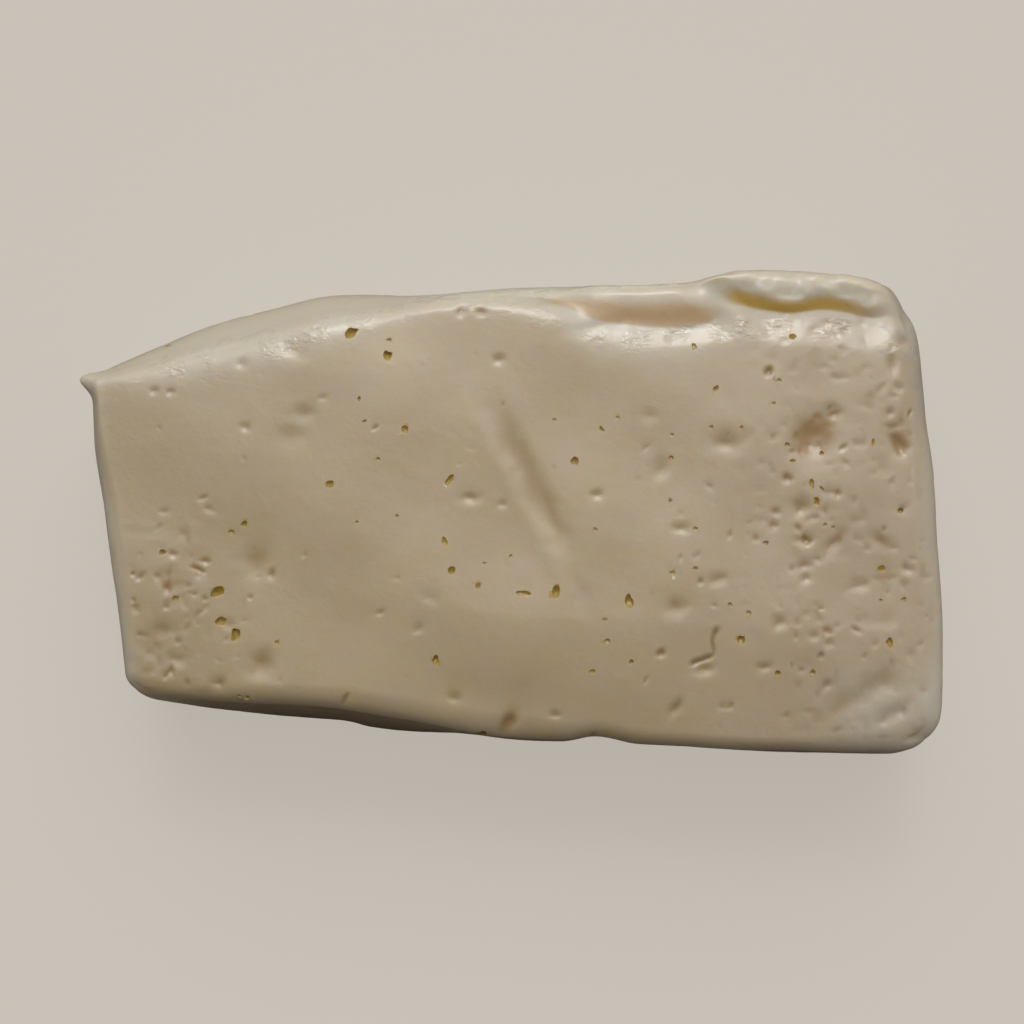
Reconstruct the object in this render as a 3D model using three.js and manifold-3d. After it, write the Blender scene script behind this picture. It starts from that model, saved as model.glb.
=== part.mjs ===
import * as THREE from 'three';
import { mergeVertices } from 'three/addons/utils/BufferGeometryUtils.js';
import Module from 'manifold-3d';

// A cut block of soft, rindless fresh tomme cheese, lying on its largest face.
// It is one solid piece of curd, wider at its right end, with soft rounded edges from the
// bag it was pressed in, a fold along its far side, a diagonal crease and small eyes.
//
// Sizes are in millimetres. +X runs along the block to its wide end, +Y across it to the
// far side, +Z up. Plan positions are measured from the middle of the block, and the
// finished block stands on Z = 0.

const { clamp, degToRad, lerp, smoothstep } = THREE.MathUtils;

// ---- Driving dimensions ----

const THICKNESS = 42;

// Plan outline at the top edge, before its corners are rounded: [position, edge] pairs.
const FAR_EDGE = [
  [-77, 24.1], [-70, 27.6], [-56, 33.5], [-42, 37.4], [-33, 39.5], [-14, 39.8], [4, 40.9], [22, 41],
  [33, 41.8], [42, 43.5], [58, 43], [66, 41.7], [76, 40.2],
];
const NEAR_EDGE = [
  [-72, -32.2], [-57, -33.7], [-33, -35], [-21, -36.7], [-3, -40.1],
  [9, -41], [15.5, -40.3], [23, -41.6], [55, -42.7], [78, -43],
];
const RIGHT_EDGE = [[-43.6, 76.2], [-20, 77.1], [-3, 75.9], [9, 75.6], [20, 74.3], [43.3, 72.7]];
const LEFT_EDGE = [[-33.6, -68.4], [-3, -72.7], [11, -75.5], [23.8, -75.9]];

// Edge roundings: how far each reaches in from its side, and how far down from the top.
const FAR_ROUND = [
  [-76, 2.5], [-63, 8], [-46, 11.5], [-30, 9.5], [-16, 5], [-2, 5.5], [8, 9], [16, 13.5], [80, 13.5],
];
const NEAR_ROUND = [
  [-76, 4], [-55, 3.4], [-40, 3.8], [-20, 4.2], [0, 4.6], [12, 3.4], [30, 2.6], [50, 2.4], [66, 4.5],
  [77, 8.5],
];
const RIGHT_ROUND = [[-43, 8.5], [-30, 4.5], [20, 5], [34, 6], [43, 6.5]];
const LEFT_ROUND = [[-34, 4.5], [-24, 3], [10, 2.6], [24, 1.6]];
// The far rounding starts gently, with this share of a circle's bend.
const FAR_START = 0.25;
const TOP_ROUND_NEAR = 2.6;
const TOP_ROUND_FAR = 8;
const BASE_ROUND = 5;
// The rounded base is cut off flat this far up, which leaves the face the block rests on.
const BASE_CUT = 2;

// The sides swell a little at half height, and the near side leans out towards its foot,
// by a distance that changes along the block.
const SIDE_SWELL = 0.012;
const FOOT_LEAN = [
  [-76, 0], [-62, 1.7], [-50, 2.3], [-36, 2.6], [-31, 2.7], [-27, 3.2], [-18, 2.7],
  [-6, 0.8], [2, 0], [80, 0],
];

// Sections of the fold along the far side, from the flat top over the edge and down:
// [way along the section, distance from the far edge, height over the top].
// The rim runs the fold's whole length, and the hollow and the lip replace it in turn.
const FOLD_REACH = 13.5;
const RIM = [
  [0, -FOLD_REACH, 0], [0.08, -11.6, -0.05], [0.16, -9.6, -0.15], [0.24, -7.4, -0.28], [0.31, -5.6, -0.38],
  [0.38, -3.9, -0.46], [0.45, -2.2, -0.6], [0.54, -0.8, -1.4], [0.7, -0.1, -3.8], [1, 0, -TOP_ROUND_FAR],
];
const HOLLOW = [
  [0, -FOLD_REACH, 0], [0.06, -12.4, -0.03], [0.12, -11.4, -0.12], [0.16, -10.5, -0.28], [0.2, -9.6, -0.47],
  [0.235, -8.9, -0.6], [0.265, -8.3, -0.67], [0.285, -7.9, -0.68], [0.31, -7.2, -0.63], [0.35, -6.2, -0.5],
  [0.39, -5.2, -0.34], [0.43, -4.1, -0.22], [0.47, -2.9, -0.17], [0.51, -1.7, -0.24], [0.56, -0.8, -0.75],
  [0.62, -0.25, -1.8], [0.72, 0, -4], [1, 0, -TOP_ROUND_FAR],
];
const LIP = [
  [0, -FOLD_REACH, 0], [0.05, -12.9, -0.05], [0.1, -12, -0.17], [0.15, -11, -0.36], [0.19, -10.1, -0.52],
  [0.23, -9.2, -0.62], [0.26, -8.4, -0.67], [0.285, -7.7, -0.7], [0.305, -7.15, -0.73], [0.325, -6.7, -0.62],
  [0.35, -6.1, -0.36], [0.38, -5.4, -0.09], [0.41, -4.6, 0.14], [0.44, -3.6, 0.29], [0.475, -2.4, 0.36],
  [0.51, -1.3, 0.28], [0.56, -0.4, -0.5], [0.63, 0, -1.8], [1, 0, -TOP_ROUND_FAR],
];
// Where along the block each section comes in and goes out again.
const RIM_SPAN = [[6, 18], [64, 72]];
const HOLLOW_SPAN = [[6, 28], [32.5, 37]];
const LIP_SPAN = [[35.5, 41.5], [63, 71]];
// The lip's front edge is lobed: its distance from the far edge along the block.
const LIP_FRONT = [[38, 1.8], [41, 2.8], [45, 4.2], [50, 5.1], [55.5, 3.8], [61, 4.1], [65.5, 4.6], [70, 5]];
const LIP_FRONT_MEAN = 4.3;
const LOBED_WAY = [0.2, 0.58];

// The film's pinch mark: a small fin at the sharp far left corner.
const FIN = { at: [-75.4, 23.7, THICKNESS - 3.2], radius: 2.1, pull: [-2.6, 0.4], squeeze: 0.6 };

// The top sinks towards its near and far edges, the most at the edges themselves.
const NEAR_SINK = 2.4;
const NEAR_SINK_REACH = 22;
const NEAR_SINK_BEND = 1.4;
const NEAR_SINK_SPAN = [[-45, -8], [60, 80]];
const FAR_SINK = 0.7;
const FAR_SINK_REACH = 22;

// Creases in the top: [from, to, half width, depth, how far its ends fade].
const CREASES = [
  [[-4, 20], [10.5, -8], 2.3, 0.36, 10],
  [[-8, 19], [8, -10], 2, -0.12, 8],
  [[9, -9], [15, -20], 1.6, 0.12, 6],
  [[56, -36.5], [69, -28.5], 2.2, 0.45, 4],
  [[65, -38], [71, -34.5], 1.5, 0.4, 2.5],
  [[36.4, -20.5], [35.6, -26.5], 0.9, 0.6, 1.5],
  [[31.4, -27.6], [36, -25.6], 0.9, 0.7, 1.5],
  [[-17, -30.2], [10, -33], 4.2, 0.2, 9],
];

// Dents in the top: [x, y, half length, half width, turn in degrees, depth].
const DENTS = [
  [54.2, 13, 4.4, 3.9, 60, 0.8], [38.5, 12.4, 3.2, 2.2, 0, 0.4], [51.5, 0.7, 2.2, 1.9, 30, 0.4],
  [52.4, -9.6, 2.4, 1.9, 90, 0.35], [65.8, -5.8, 2.6, 1.7, 30, 0.4], [68.4, 24.6, 3, 1.5, 80, 0.4],
  [69.2, 12, 3.2, 1.6, -50, 0.5], [70.2, 31, 2, 1.6, 0, 0.4], [29.3, -17.1, 2.4, 2.2, 0, 0.4],
  [-45.6, -9, 3.6, 3, 90, 0.4], [-44.8, -27.4, 3, 2.8, 0, 0.45], [-52.2, -30.6, 2, 1.8, 0, 0.35],
  [-39.2, 29.2, 3.4, 2.4, 0, 0.3], [-38.6, 15, 2.8, 2.2, 40, 0.25], [-1, -38.2, 3, 1.4, 65, 0.75],
  [-60.5, -23.5, 3, 2.4, 20, 0.3], [-8.4, -11.6, 2, 1.8, 0, 0.3],
  [28.4, -34.6, 2, 1.4, 60, 0.45], [72.9, -40.6, 2.2, 1.8, 40, 0.6], [48, -19.8, 2.2, 1.8, 0, 0.3],
];

// Eyes, the small openings in the cut curd: [x, y, half length, half width, turn, depth].
const EYES = [
  [-28.8, 32, 1.5, 0.95, 30, 1.8], [-22.3, 27.7, 1, 0.9, 90, 1.7], [-32.6, 4.9, 0.8, 0.7, 0, 1.3],
  [-52.4, -14.4, 1.5, 1, 25, 2], [-51.8, -19.8, 1.1, 0.85, 10, 1.7], [-49.1, -22.3, 1.4, 0.9, 80, 1.8],
  [2.2, -14.9, 1.5, 0.7, -5, 1.2], [7.7, -14.4, 1.3, 0.8, 80, 1.6], [20.9, -16.2, 1.4, 0.8, 100, 1.7],
  [11, 8.8, 0.8, 0.75, 0, 1.3], [-11.2, 5.6, 1.2, 0.6, 60, 1.2], [-13.7, -26.6, 0.9, 0.75, 90, 1.3],
  [-10.8, -10.6, 0.8, 0.7, 0, 1.2], [36.5, 21.8, 0.9, 0.75, 45, 1.2], [40.9, -22.9, 0.8, 0.8, 0, 1.3],
  [54.5, 1.6, 0.8, 0.65, 90, 1.2], [67.3, -23.6, 1.1, 0.7, 90, 1.3], [-62.3, -7.4, 0.8, 0.7, 0, 1.2],
];
const EYE_FACETS = 1;

// Grid of the block: cells along, across and up, and where the rows gather: [row, place].
const CELLS = [60, 37, 9];
const ROWS_ALONG = [[-1, -1], [-0.9, -0.94], [0.3, 0.35], [0.9, 0.94], [1, 1]];
const ROWS_ACROSS = [[-1, -1], [-0.84, -0.93], [0.42, 0.67], [1, 1]];
const ROWS_UP = [[-1, -1], [0.1, 0.5], [1, 1]];

// ---- Curves and relief ----

/** A smooth curve through [position, value] pairs, going straight on past both ends. */
function curveThrough(pairs) {
  const last = pairs.length - 1;
  const slope = (i) => {
    const before = pairs[Math.max(i - 1, 0)];
    const after = pairs[Math.min(i + 1, last)];
    return (after[1] - before[1]) / (after[0] - before[0]);
  };
  return (position) => {
    const i = clamp(pairs.findIndex((pair) => pair[0] > position) - 1, 0, last - 1);
    const [start, startValue] = pairs[i];
    const [end, endValue] = pairs[i + 1];
    if (position <= pairs[0][0]) return pairs[0][1] + slope(0) * (position - pairs[0][0]);
    if (position >= pairs[last][0]) return pairs[last][1] + slope(last) * (position - pairs[last][0]);
    const span = end - start;
    const t = (position - start) / span;
    const rise = 3 * t * t - 2 * t * t * t;
    const leave = t * (1 - t) * (1 - t);
    const arrive = t * t * (t - 1);
    return lerp(startValue, endValue, rise) + span * (leave * slope(i) + arrive * slope(i + 1));
  };
}

const farEdge = curveThrough(FAR_EDGE);
const nearEdge = curveThrough(NEAR_EDGE);
const rightEdge = curveThrough(RIGHT_EDGE);
const leftEdge = curveThrough(LEFT_EDGE);
const farRound = curveThrough(FAR_ROUND);
const nearRound = curveThrough(NEAR_ROUND);
const rightRound = curveThrough(RIGHT_ROUND);
const leftRound = curveThrough(LEFT_ROUND);
const lipFront = curveThrough(LIP_FRONT);
const footLean = curveThrough(FOOT_LEAN);
const sectionOf = (rows) => [1, 2].map((column) => curveThrough(rows.map((row) => [row[0], row[column]])));
const rimSection = sectionOf(RIM);
const hollowSection = sectionOf(HOLLOW);
const lipSection = sectionOf(LIP);

/** 0 outside a span, 1 inside it, with the soft start and end that the span gives. */
function within([[startFrom, startTo], [endFrom, endTo]], x) {
  return smoothstep(x, startFrom, startTo) * (1 - smoothstep(x, endFrom, endTo));
}

/** Slow waves of the pressed curd, on every side of the block. */
function waves(x, y, z) {
  return 0.22 * Math.sin(x / 15 + 0.6) * Math.cos(y / 11 - 0.4 + z / 19)
    + 0.1 * Math.sin((x + 1.7 * y) / 8 + z / 7) + 0.06 * Math.sin((2 * x - y) / 7 + z / 5 + 2);
}

/** Depth at (x, y) of a long crease with round walls and fading ends. */
function creaseDepth([[x0, y0], [x1, y1], halfWidth, depth, fade], x, y) {
  const length = Math.hypot(x1 - x0, y1 - y0);
  const along = ((x - x0) * (x1 - x0) + (y - y0) * (y1 - y0)) / length;
  const across = ((x - x0) * (y1 - y0) - (y - y0) * (x1 - x0)) / length;
  const ends = smoothstep(along, -fade / 2, fade) * (1 - smoothstep(along, length - fade, length + fade / 2));
  return depth * ends * Math.exp(-((across / halfWidth) ** 2));
}

/** Depth at (x, y) of an oval dent with a soft rim. */
function dentDepth([centreX, centreY, halfLength, halfWidth, turn, depth], x, y) {
  const cos = Math.cos(degToRad(turn));
  const sin = Math.sin(degToRad(turn));
  const along = ((x - centreX) * cos + (y - centreY) * sin) / halfLength;
  const across = ((y - centreY) * cos - (x - centreX) * sin) / halfWidth;
  return depth * Math.exp(-1.4 * (along * along + across * across));
}

/** How far the top sinks towards its near and far edges at (x, y). */
function sink(x, y) {
  const near = clamp(1 - (y - nearEdge(x)) / NEAR_SINK_REACH, 0, 1);
  const far = clamp(1 - (farEdge(x) - y) / FAR_SINK_REACH, 0, 1);
  return NEAR_SINK * near ** NEAR_SINK_BEND * within(NEAR_SINK_SPAN, x) + FAR_SINK * far * far;
}

/** Depth of the top's creases and dents at (x, y). */
function topDepth(x, y) {
  const creased = CREASES.reduce((sum, crease) => sum + creaseDepth(crease, x, y), 0);
  return DENTS.reduce((sum, dent) => sum + dentDepth(dent, x, y), creased);
}

// ---- The block ----

/** Place in the plan of a point given as -1..1 along and across the block. */
function planPoint(along, across) {
  const s = (along + 1) / 2;
  const t = (across + 1) / 2;
  const leftY = lerp(LEFT_EDGE[0][0], LEFT_EDGE.at(-1)[0], t);
  const rightY = lerp(RIGHT_EDGE[0][0], RIGHT_EDGE.at(-1)[0], t);
  const x = lerp(leftEdge(leftY), rightEdge(rightY), s);
  return { x, y: lerp(nearEdge(x), farEdge(x), t), left: leftEdge(leftY), right: rightEdge(rightY) };
}

/** How far a point is into the roundings of two opposite sides: -1..1, and the radius there. */
function intoRound(toLow, lowRadius, toHigh, highRadius) {
  if (toHigh < highRadius) return [1 - toHigh / highRadius, highRadius];
  if (toLow < lowRadius) return [toLow / lowRadius - 1, lowRadius];
  return [0, 1];
}

/** The gentle start of the far rounding, from 0 to 1. */
function easedIn(into) {
  return FAR_START * into + (1 - FAR_START) * into * into * (2 - into);
}

/** The fold's section laid over the rounded far edge, by its share at this x. */
function foldOver(point, share, [across, up], way, shift) {
  if (share <= 0) return;
  const reach = farRound(point.x) / FOLD_REACH;
  point.y = lerp(point.y, farEdge(point.x) + across(way) * reach + shift, share);
  point.z = lerp(point.z, THICKNESS + up(way), share);
}

/** A point of the -1..1 cube's surface, moved to its place on the block. */
function blockPoint(cube) {
  const plan = planPoint(cube.x, cube.y);
  const z = lerp(-BASE_CUT, THICKNESS, (cube.z + 1) / 2);
  const topRound = lerp(TOP_ROUND_NEAR, TOP_ROUND_FAR, smoothstep(cube.y, 0, 0.8));
  const [intoX, radiusX] = intoRound(
    plan.x - plan.left, leftRound(plan.y), plan.right - plan.x, rightRound(plan.y));
  const [intoSide, radiusY] = intoRound(
    plan.y - nearEdge(plan.x), nearRound(plan.x), farEdge(plan.x) - plan.y, farRound(plan.x));
  const intoY = intoSide > 0 ? easedIn(intoSide) : intoSide;
  const [intoZ, radiusZ] = intoRound(z + BASE_CUT, BASE_ROUND, THICKNESS - z, topRound);

  const into = new THREE.Vector3(intoX, intoY, intoZ);
  const out = into.clone().normalize();
  const point = new THREE.Vector3(plan.x, plan.y, z);
  point.add(out.clone().sub(into).multiply(new THREE.Vector3(radiusX, radiusY, radiusZ)));

  if (intoY > 0 && intoZ > 0) {
    const way = 0.5 + (intoY - intoZ) / 2;
    const [lobedFrom, lobedTo] = LOBED_WAY;
    const lobe = Math.sin(Math.PI * clamp((way - lobedFrom) / (lobedTo - lobedFrom), 0, 1)) ** 2;
    const shift = (LIP_FRONT_MEAN - lipFront(point.x)) * lobe;
    foldOver(point, within(RIM_SPAN, point.x), rimSection, way, 0);
    foldOver(point, within(HOLLOW_SPAN, point.x), hollowSection, way, 0);
    foldOver(point, within(LIP_SPAN, point.x), lipSection, way, shift);
  }

  const height = clamp(point.z / THICKNESS, 0, 1);
  const topShare = clamp(out.z, 0, 1);
  const relief = waves(point.x, point.y, point.z) - topShare * topDepth(point.x, point.y);
  point.addScaledVector(out, relief);
  point.z -= sink(point.x, point.y) * height ** 3;
  const swell = 1 + SIDE_SWELL * Math.sin(Math.PI * height);
  point.x *= swell;
  point.y *= swell;
  const lean = footLean(point.x) * (1 - height) ** 1.5;
  point.y -= lean * Math.max(-cube.y, 0) ** 3;

  const finShare = Math.exp(-((point.distanceTo(new THREE.Vector3(...FIN.at)) / FIN.radius) ** 2));
  point.x += FIN.pull[0] * finShare;
  point.y += FIN.pull[1] * finShare;
  point.z = lerp(point.z, FIN.at[2], FIN.squeeze * finShare);
  return point;
}

/** The closed block, still round under its base. */
function blockGeometry() {
  const geometry = new THREE.BoxGeometry(2, 2, 2, ...CELLS);
  const rows = [ROWS_ALONG, ROWS_ACROSS, ROWS_UP].map(curveThrough);
  const position = geometry.attributes.position;
  for (let i = 0; i < position.count; i += 1) {
    const cube = new THREE.Vector3().fromBufferAttribute(position, i);
    cube.set(rows[0](cube.x), rows[1](cube.y), rows[2](cube.z));
    position.setXYZ(i, ...blockPoint(cube));
  }
  return geometry;
}

/** A slab under Z = 0 that takes the rounded base off. */
function baseCutter() {
  const size = 400;
  return new THREE.BoxGeometry(size, size, size).translate(0, 0, -size / 2);
}

/** The oval ball that opens one eye in the top. */
function eyeCutter([x, y, halfLength, halfWidth, turn, depth]) {
  const z = THICKNESS + waves(x, y, THICKNESS) - topDepth(x, y) - sink(x, y);
  return new THREE.IcosahedronGeometry(1, EYE_FACETS)
    .scale(halfLength, halfWidth, depth)
    .rotateZ(degToRad(turn))
    .translate(x, y, z);
}

// ---- Cutting ----

const wasm = await Module();
wasm.setup();

/** The solid that a closed geometry bounds. */
function solidOf(geometry) {
  const bare = geometry.clone();
  bare.deleteAttribute('normal');
  bare.deleteAttribute('uv');
  const merged = mergeVertices(bare);
  return new wasm.Manifold(new wasm.Mesh({
    numProp: 3,
    vertProperties: merged.attributes.position.array,
    triVerts: Uint32Array.from(merged.index.array),
  }));
}

/** The geometry of a solid, with flat faces. */
function geometryOf(solid) {
  const { vertProperties, triVerts } = solid.getMesh();
  const geometry = new THREE.BufferGeometry();
  geometry.setAttribute('position', new THREE.BufferAttribute(vertProperties, 3));
  geometry.setIndex(new THREE.BufferAttribute(triVerts, 1));
  geometry.computeVertexNormals();
  return geometry;
}

/** The block with its flat base and its eyes, its base centred on the origin. */
function tommeGeometry() {
  const cutters = [baseCutter(), ...EYES.map(eyeCutter)];
  const cut = cutters.reduce((solid, cutter) => solid.subtract(solidOf(cutter)), solidOf(blockGeometry()));
  const geometry = geometryOf(cut);
  geometry.computeBoundingBox();
  const centre = geometry.boundingBox.getCenter(new THREE.Vector3());
  return geometry.translate(-centre.x, -centre.y, 0);
}

const curd = new THREE.MeshStandardMaterial({ color: 0xe2d2ac, roughness: 0.45, metalness: 0 });
const tomme = new THREE.Mesh(tommeGeometry(), curd);
tomme.name = 'tomme';

const group = new THREE.Group();
group.add(tomme);

export default group;
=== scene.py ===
"""A cut block of soft fresh tomme: its moist, dented and creased surface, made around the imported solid.

The block is one piece. Its form repeats the solid's, in millimetres, on a fine grid. Dents, pits, creases
and crumbly patches are pressed into that grid, and the eyes of the curd are cut out of it.
"""

import itertools
import math

import bmesh
import bpy
import numpy as np
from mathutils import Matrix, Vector
from mathutils.bvhtree import BVHTree
from mathutils.kdtree import KDTree


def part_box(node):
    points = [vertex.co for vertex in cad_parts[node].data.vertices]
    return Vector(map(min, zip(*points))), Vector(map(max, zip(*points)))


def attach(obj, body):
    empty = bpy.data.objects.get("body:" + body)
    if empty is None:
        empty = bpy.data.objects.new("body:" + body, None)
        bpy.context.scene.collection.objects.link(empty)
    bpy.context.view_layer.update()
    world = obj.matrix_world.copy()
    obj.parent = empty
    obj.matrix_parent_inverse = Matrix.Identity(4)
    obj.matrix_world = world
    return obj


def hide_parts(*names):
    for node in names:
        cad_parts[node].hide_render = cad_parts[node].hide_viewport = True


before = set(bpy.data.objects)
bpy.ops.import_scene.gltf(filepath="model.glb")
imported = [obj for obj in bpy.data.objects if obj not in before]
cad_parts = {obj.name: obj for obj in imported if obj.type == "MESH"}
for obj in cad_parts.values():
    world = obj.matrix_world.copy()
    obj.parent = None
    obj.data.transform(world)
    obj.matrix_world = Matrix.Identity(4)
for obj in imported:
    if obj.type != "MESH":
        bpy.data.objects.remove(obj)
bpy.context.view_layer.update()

MM = 0.001
NODE = "tomme"

# ---- The block's form, in millimetres: +X to the wide end, +Y to the far side, +Z up ----

THICKNESS = 42.0

FAR_EDGE = [
    [-77, 24.1], [-70, 27.6], [-56, 33.5], [-42, 37.4], [-33, 39.5], [-14, 39.8], [4, 40.9], [22, 41],
    [33, 41.8], [42, 43.5], [58, 43], [66, 41.7], [76, 40.2],
]
NEAR_EDGE = [
    [-72, -32.2], [-57, -33.7], [-33, -35], [-21, -36.7], [-3, -40.1],
    [9, -41], [15.5, -40.3], [23, -41.6], [55, -42.7], [78, -43],
]
RIGHT_EDGE = [[-43.6, 76.2], [-20, 77.1], [-3, 75.9], [9, 75.6], [20, 74.3], [43.3, 72.7]]
LEFT_EDGE = [[-33.6, -68.4], [-3, -72.7], [11, -75.5], [23.8, -75.9]]

# How far each edge rounding reaches in from its side, and how far down from the top.
FAR_ROUND = [
    [-76, 2.5], [-63, 8], [-46, 11.5], [-30, 9.5], [-16, 5], [-2, 5.5], [8, 9], [16, 13.5], [80, 13.5],
]
NEAR_ROUND = [
    [-76, 4], [-55, 3.4], [-40, 3.8], [-20, 4.2], [0, 4.6], [12, 3.4], [30, 2.6], [50, 2.4], [66, 4.5],
    [77, 8.5],
]
RIGHT_ROUND = [[-43, 8.5], [-30, 4.5], [20, 5], [34, 6], [43, 6.5]]
LEFT_ROUND = [[-34, 4.5], [-24, 3], [10, 2.6], [24, 1.6]]
# How steeply the far rounding begins, how far down the roundings reach on the near and the far side,
# and where across the block the one turns into the other.
FAR_START = 0.25
TOP_ROUND_NEAR = 2.6
TOP_ROUND_FAR = 8.0
TOP_ROUND_CHANGE = (0, 0.8)
BASE_ROUND = 5.0
BASE_CUT = 2.0

SIDE_SWELL = 0.012
# How far the near side's foot leans out, along the block, and how the lean fades upwards and inwards.
FOOT_LEAN_UP = 1.5
FOOT_LEAN_IN = 3
FOOT_LEAN = [
    [-76, 0], [-62, 1.7], [-50, 2.3], [-36, 2.6], [-31, 2.7], [-27, 3.2], [-18, 2.7],
    [-6, 0.8], [2, 0], [80, 0],
]

# Sections of the fold: [way along the section, distance from the far edge, height over the top].
FOLD_REACH = 13.5
RIM = [
    [0, -FOLD_REACH, 0], [0.08, -11.6, -0.05], [0.16, -9.6, -0.15], [0.24, -7.4, -0.28], [0.31, -5.6, -0.38],
    [0.38, -3.9, -0.46], [0.45, -2.2, -0.6], [0.54, -0.8, -1.4], [0.7, -0.1, -3.8], [1, 0, -TOP_ROUND_FAR],
]
HOLLOW = [
    [0, -FOLD_REACH, 0], [0.06, -12.4, -0.03], [0.12, -11.4, -0.12], [0.16, -10.5, -0.28], [0.2, -9.6, -0.47],
    [0.235, -8.9, -0.6], [0.265, -8.3, -0.67], [0.285, -7.9, -0.68], [0.31, -7.2, -0.63], [0.35, -6.2, -0.5],
    [0.39, -5.2, -0.34], [0.43, -4.1, -0.22], [0.47, -2.9, -0.17], [0.51, -1.7, -0.24], [0.56, -0.8, -0.75],
    [0.62, -0.25, -1.8], [0.72, 0, -4], [1, 0, -TOP_ROUND_FAR],
]
LIP = [
    [0, -FOLD_REACH, 0], [0.05, -12.9, -0.05], [0.1, -12, -0.17], [0.15, -11, -0.36], [0.19, -10.1, -0.52],
    [0.23, -9.2, -0.62], [0.26, -8.4, -0.67], [0.285, -7.7, -0.7], [0.305, -7.15, -0.73],
    [0.325, -6.7, -0.62], [0.35, -6.1, -0.36], [0.38, -5.4, -0.09], [0.41, -4.6, 0.14],
    [0.44, -3.6, 0.29], [0.475, -2.4, 0.36], [0.51, -1.3, 0.28], [0.56, -0.4, -0.5],
    [0.63, 0, -1.8], [1, 0, -TOP_ROUND_FAR],
]
RIM_SPAN = ((6, 18), (64, 72))
HOLLOW_SPAN = ((6, 28), (32.5, 37))
LIP_SPAN = ((35.5, 41.5), (63, 71))
LIP_FRONT = [[38, 1.8], [41, 2.8], [45, 4.2], [50, 5.1], [55.5, 3.8], [61, 4.1], [65.5, 4.6], [70, 5]]
LIP_FRONT_MEAN = 4.3
LOBED_WAY = (0.2, 0.58)
# The bridge between the hollow and the lip runs aslant: the spans shift by this much of the distance
# from the far edge, measured from the bridge's middle, and the shift ends further along the lip.
BRIDGE_SLANT = 0.9
BRIDGE_MIDDLE = 5.0
BRIDGE_END = (44, 54)
# Where the recess under the lip (painted ochre shade), the hollow's low groove (painted tan shade) and the
# lip's cream-white colour (partly painted light) lie, along the sections and the block.
POCKET_WAY = ((0.295, 0.315), (0.36, 0.42))
POCKET_SPAN = ((36, 40), (58, 67))
VALLEY_WAY = ((0.27, 0.3), (0.36, 0.5))
VALLEY_SPAN = ((0, 16), (31, 37))
MILKY_WAY = ((0.37, 0.45), (0.6, 1))
LIP_MILKY = 0.5

# The crinkled film, by how far in from the far edge it lies, as a share of the rounding there:
# one weaker band where there is no fold, and on the fold a band along its foot.
FILM_PLAIN = ((0.1, 0.55), (0.6, 1.3))
FILM_PLAIN_SHARE = 0.75
FILM_FOOT = ((0.55, 0.64), (0.74, 1.02))
# The film has patches where a noise of this size rises through this range. It is less wet between them.
FILM_PATCH_SIZE = 2.6
FILM_PATCHES = (-0.3, 0.4)
FILM_BETWEEN = 0.3
# The rest of the far rounding is a little wet as well.
FILM_ELSEWHERE = 0.2
FILM_ELSEWHERE_SPAN = ((-38, -22), (66, 74))
FILM_ELSEWHERE_END = (0.8, 1.2)
# How wide the wet rim of the far edge is along the block, and how it fades across that width. Its white is a
# painted highlight.
WET_RIM_WIDTH = [[-24, 3], [-10, 3.8], [5, 3.8], [14, 1.8], [40, 1.2]]
WET_RIM_SPAN = ((-24, -8), (28, 36))
WET_RIM_FADE = (0.3, 1)
# The film and the wet rim fade out down the side between these heights.
FILM_HEIGHT = (34, 39)

# The paler colour: a painted sheen on the roundings at the two ends, paler curd with painted sheen along the
# far edge, and the curd's own whiter colour at the near right corner. Its share at each, and how each fades.
ENDS_SHEEN = 0.7
LEFT_SHEEN_FADE = (0.5, 4)
RIGHT_SHEEN_FADE = (0.5, 5)
FAR_PALER_AND_SHEEN = 0.9
PALE_FAR_FADE = (0.4, 1.3)
PALE_LESS_ON_LIP = 0.4
PALE_CORNER = 0.6
PALE_HEIGHT = (THICKNESS - 16, THICKNESS - 4)
CORNER_X = (48, 64)
CORNER_Y = (-34, -24)

# The fin at the far left corner: its middle, its reach, its pull, and how much it is squeezed flat.
FIN_AT = (-75.4, 23.7, THICKNESS - 3.2)
FIN_RADIUS = 2.1
FIN_PULL = (-2.6, 0.4)
FIN_SQUEEZE = 0.6

# The top sinks towards its near and far edges, the most at the edges themselves.
NEAR_SINK = 2.4
NEAR_SINK_REACH = 22.0
NEAR_SINK_BEND = 1.4
NEAR_SINK_SPAN = ((-45, -8), (60, 80))
FAR_SINK = 0.7
FAR_SINK_REACH = 22.0

# ---- Relief of the top: dents and creases ----

# [from, to, half width, depth, how far the ends fade], where a depth under zero is a ridge.
CREASES = [
    [(-4, 20), (10.5, -8), 2.3, 0.36, 10],
    [(-8, 19), (10.5, -14.5), 2, -0.12, 8],
    [(9, -9), (15, -20), 1.6, 0.12, 6],
    [(56, -36.5), (69, -28.5), 2.2, 0.45, 4],
    [(65, -38), (71, -34.5), 1.5, 0.4, 2.5],
    [(36.4, -21), (35.6, -25.6), 0.4, 0.5, 1.2],
    [(31.6, -27.4), (36, -25.6), 0.5, 0.5, 1.2],
    [(-17, -30.2), (10, -33), 4.2, 0.2, 9],
    [(-29, -32.4), (-30.2, -35.2), 0.35, 0.5, 1],
    [(8, 31.9), (24, 34.4), 1.5, 0.22, 8],
]

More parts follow.
